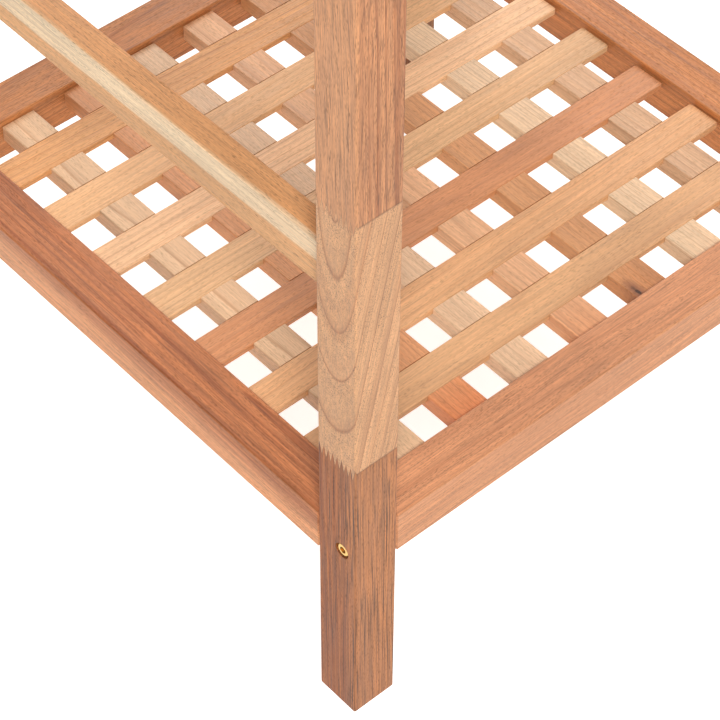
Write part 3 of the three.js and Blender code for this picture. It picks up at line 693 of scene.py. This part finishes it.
def makeFastenerTree():
    tree = bpy.data.node_groups.new("fasteners", "GeometryNodeTree")
    for name, kind in fastenerSockets:
        tree.interface.new_socket(name=name, in_out="INPUT", socket_type=kind)
    tree.interface.new_socket(name="Geometry", in_out="OUTPUT", socket_type="NodeSocketGeometry")
    given = tree.nodes.new("NodeGroupInput").outputs
    blank = addNode(tree, "GeometryNodeObjectInfo", {"Object": given["Blank"]})
    twiceDeep = addNode(tree, "ShaderNodeMath", {0: given["Recess depth"], 1: 2.0}, operation="MULTIPLY")
    # across the flats to the corners
    corner = addNode(tree, "ShaderNodeMath", {0: given["Recess width"], 1: 1 / math.sqrt(3)},
                     operation="MULTIPLY")
    hexagon = addNode(tree, "GeometryNodeMeshCylinder",
                      {"Vertices": 6, "Radius": corner.outputs[0], "Depth": twiceDeep.outputs[0]})
    armSize = addNode(tree, "ShaderNodeCombineXYZ",
                      {0: given["Recess length"], 1: given["Recess width"], 2: twiceDeep.outputs[0]})
    arm = addNode(tree, "GeometryNodeMeshCube", {"Size": armSize.outputs[0]})
    crossArm = addNode(tree, "GeometryNodeTransform",
                       {"Geometry": arm.outputs[0], "Rotation": (0, 0, math.pi / 2)})
    cross = addNode(tree, "GeometryNodeMeshBoolean", {1: arm.outputs[0]}, operation="UNION", solver="EXACT")
    tree.links.new(crossArm.outputs[0], cross.inputs[1])
    recess = addNode(tree, "GeometryNodeSwitch",
                     {"Switch": given["Hexagon"], "False": cross.outputs[0], "True": hexagon.outputs[0]},
                     input_type="GEOMETRY")
    fastener = addNode(tree, "GeometryNodeMeshBoolean",
                       {0: blank.outputs["Geometry"], 1: recess.outputs[0]}, operation="DIFFERENCE",
                       solver="EXACT")
    facing = addNode(tree, "GeometryNodeInputNamedAttribute", {"Name": "facing"}, data_type="FLOAT_VECTOR")
    stand = addNode(tree, "FunctionNodeAlignRotationToVector", {"Vector": facing.outputs[0]}, axis="Z")
    angle = addNode(tree, "FunctionNodeRandomValue", {"Seed": given["Turn seed"]}, data_type="FLOAT")
    angle.inputs[3].default_value = 2 * math.pi
    turn = addNode(tree, "FunctionNodeAxisAngleToRotation", {"Axis": (0, 0, 1), "Angle": angle.outputs[1]})
    driven = addNode(tree, "FunctionNodeRotateRotation",
                     {"Rotation": stand.outputs[0], "Rotate By": turn.outputs[0]}, rotation_space="LOCAL")
    placed = addNode(tree, "GeometryNodeInstanceOnPoints",
                     {"Points": given["Places"], "Instance": fastener.outputs[0],
                      "Rotation": driven.outputs[0]})
    plain = addNode(tree, "GeometryNodeRealizeInstances", {0: placed.outputs[0]})
    finished = addNode(tree, "GeometryNodeSetMaterial",
                       {"Geometry": plain.outputs[0], "Material": given["Material"]})
    addNode(tree, "NodeGroupOutput", {"Geometry": finished.outputs[0]})
    return tree


fastenerTree = makeFastenerTree()


turnSteps = 32


def turnedBlank(profile):
    # a closed turned shape about Z
    work = bmesh.new()
    points = [work.verts.new((radius * mm, 0, height * mm)) for radius, height in profile]
    edges = [work.edges.new(pair) for pair in zip(points, points[1:])]
    bmesh.ops.spin(work, geom=points + edges, axis=(0, 0, 1), cent=(0, 0, 0), angle=2 * math.pi,
                   steps=turnSteps)
    bmesh.ops.remove_doubles(work, verts=work.verts, dist=0.001 * mm)
    bmesh.ops.recalc_face_normals(work, faces=work.faces)
    mesh = bpy.data.meshes.new("blank")
    work.to_mesh(mesh)
    work.free()
    blank = bpy.data.objects.new("blank", mesh)
    scene.collection.objects.link(blank)
    return blank


def setFasteners(name, profile, recess, places, material, body):
    # places: (point, way it faces) for each one
    blank = turnedBlank(profile)
    mesh = bpy.data.meshes.new(name)
    mesh.from_pydata([point for point, facing in places], [], [])
    facings = mesh.attributes.new("facing", "FLOAT_VECTOR", "POINT")
    for item, (point, facing) in zip(facings.data, places):
        item.vector = facing
    host = bpy.data.objects.new(name + "_places", mesh)
    scene.collection.objects.link(host)
    modifier = host.modifiers.new("fasteners", "NODES")
    modifier.node_group = fastenerTree
    values = {"Blank": blank, "Turn seed": len(places), "Material": material}
    values.update({key: value if key == "Hexagon" else value * mm for key, value in recess.items()})
    for item in fastenerTree.interface.items_tree:
        if item.in_out == "INPUT" and item.name in values:
            modifier[item.identifier] = values[item.name]
    evaluated = host.evaluated_get(bpy.context.evaluated_depsgraph_get())
    result = bpy.data.meshes.new_from_object(evaluated)
    host.modifiers.clear()
    for spent in (host, blank):
        bpy.data.objects.remove(spent)
    piece = bpy.data.objects.new(name, result)
    scene.collection.objects.link(piece)
    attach(piece, body)
    print(name, "set:", len(places), "pieces,", len(result.polygons), "faces")
    return piece


def hingeScrewPlaces(leafName, z, facing):
    look = screwLook["hinge"]
    low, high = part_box(leafName)
    y = low.y + look["fromEdge"] * mm
    end = look["fromEnd"] * mm
    return [((x, y, z), facing) for x in (low.x + end, (low.x + high.x) / 2, high.x - end)]


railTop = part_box("cross_rail_top_back")[1].z
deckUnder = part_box("deck_slat_7")[0].z
battenEnd = screwLook["batten"]["fromEnd"] * mm
onRail, onDeck, onBattens = [], [], []
for side in ("left", "right"):
    onRail += hingeScrewPlaces("hinge_rail_leaf_" + side, railTop, (0, 0, 1))
    onDeck += hingeScrewPlaces("hinge_deck_leaf_" + side, deckUnder, (0, 0, -1))
    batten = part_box("deck_batten_" + side)
    for index in range(len(slatLook["deck_slat"]["tones"])):
        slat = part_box(f"deck_slat_{index + 1}")
        middle = (slat[0] + slat[1]) / 2
        # the end slats' screws sit off their middles, where the batten still has wood
        y = min(max(middle.y, batten[0].y + battenEnd), batten[1].y - battenEnd)
        onBattens.append((((batten[0].x + batten[1].x) / 2, y, batten[0].z), (0, 0, -1)))
hingeScrew = screwLook["hinge"]
setFasteners("hinge_screws_rail", hingeScrew["blank"], hingeScrew["recess"], onRail, hingeBrass, "frame")
setFasteners("hinge_screws_deck", hingeScrew["blank"], hingeScrew["recess"], onDeck, hingeBrass, "deck")
battenScrew = screwLook["batten"]
setFasteners("batten_screws", battenScrew["blank"], battenScrew["recess"], onBattens, nutZinc, "deck")

boltPlaces = []
boltNames = [nodeName for nodeName in nodes if nodeName.startswith("bolt_")]
for nodeName in boltNames:
    low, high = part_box(nodeName)
    isLeft = nodeName.endswith("left")
    middle = (low + high) / 2
    boltPlaces.append(((low.x if isLeft else high.x, middle.y, middle.z), (-1 if isLeft else 1, 0, 0)))
boltLength = (high.x - low.x) / mm


def boltProfile(look, length):
    head, shank, rim, tip = look["headDiameter"] / 2, look["shankDiameter"] / 2, look["rim"], look["tip"]
    under = -look["headHeight"]
    return ((0, 0), (head - rim, 0), (head - 0.3 * rim, -0.3 * rim), (head, -rim), (head, under),
            (shank, under), (shank, tip - length), (shank - tip, -length), (0, -length))


capBolts = setFasteners("cap_bolts", boltProfile(screwLook["bolt"], boltLength), screwLook["bolt"]["recess"],
                        boltPlaces, boltBrass, "frame")
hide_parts(*boltNames)

# A white shooting table, lit from all round, with one large soft light near the camera and one behind
studioLook = {
    "floorReach": 12,
    "floorTone": "#fbfbfa",
    "floorGlow": 0.7,  # seen by the camera and in reflections only, so it doesn't light the rack from below
    "skyStrength": 0.32,
    "aim": (0, 0, 0.25),
    "key": {"place": (-1.62, -2.12, 2.61), "size": 1.2, "power": 96},
    "back": {"place": (2.0, 2.1, 2.3), "size": 2.0, "power": 64},
}


def makeStudio(look):
    mesh = bpy.data.meshes.new("floor")
    reach = look["floorReach"]
    corners = [(-reach, -reach, 0), (reach, -reach, 0), (reach, reach, 0), (-reach, reach, 0)]
    mesh.from_pydata(corners, [], [(0, 1, 2, 3)])
    floor = bpy.data.objects.new("floor", mesh)
    scene.collection.objects.link(floor)
    material, tree = newMaterial("whiteAcrylic_floor")
    white = linearColour(look["floorTone"])
    matt = addNode(tree, "ShaderNodeBsdfDiffuse", {"Color": white})
    seen = addNode(tree, "ShaderNodeLightPath")
    shown = addNode(tree, "ShaderNodeMath",
                    {0: seen.outputs["Is Camera Ray"], 1: seen.outputs["Is Glossy Ray"]},
                    operation="MAXIMUM")
    glow = addNode(tree, "ShaderNodeMath", {0: shown.outputs[0], 1: look["floorGlow"]},
                   operation="MULTIPLY")
    lit = addNode(tree, "ShaderNodeEmission", {"Color": white, "Strength": glow.outputs[0]})
    surface = addNode(tree, "ShaderNodeAddShader", {0: matt.outputs[0], 1: lit.outputs[0]})
    addNode(tree, "ShaderNodeOutputMaterial", {"Surface": surface.outputs[0]})
    mesh.materials.append(material)

    world = bpy.data.worlds.new("studio")
    world.use_nodes = True
    world.node_tree.nodes["Background"].inputs[0].default_value = (1, 1, 1, 1)
    world.node_tree.nodes["Background"].inputs[1].default_value = look["skyStrength"]
    scene.world = world

    for name in ("key", "back"):
        light = bpy.data.objects.new(name, bpy.data.lights.new(name, "AREA"))
        light.data.shape = "DISK"
        light.data.size = look[name]["size"]
        light.data.energy = look[name]["power"]
        light.location = look[name]["place"]
        aim = Vector(look["aim"]) - light.location
        light.rotation_euler = aim.to_track_quat("-Z", "Y").to_euler()
        scene.collection.objects.link(light)
    scene.view_settings.view_transform = "Standard"


makeStudio(studioLook)
print("studio lit")
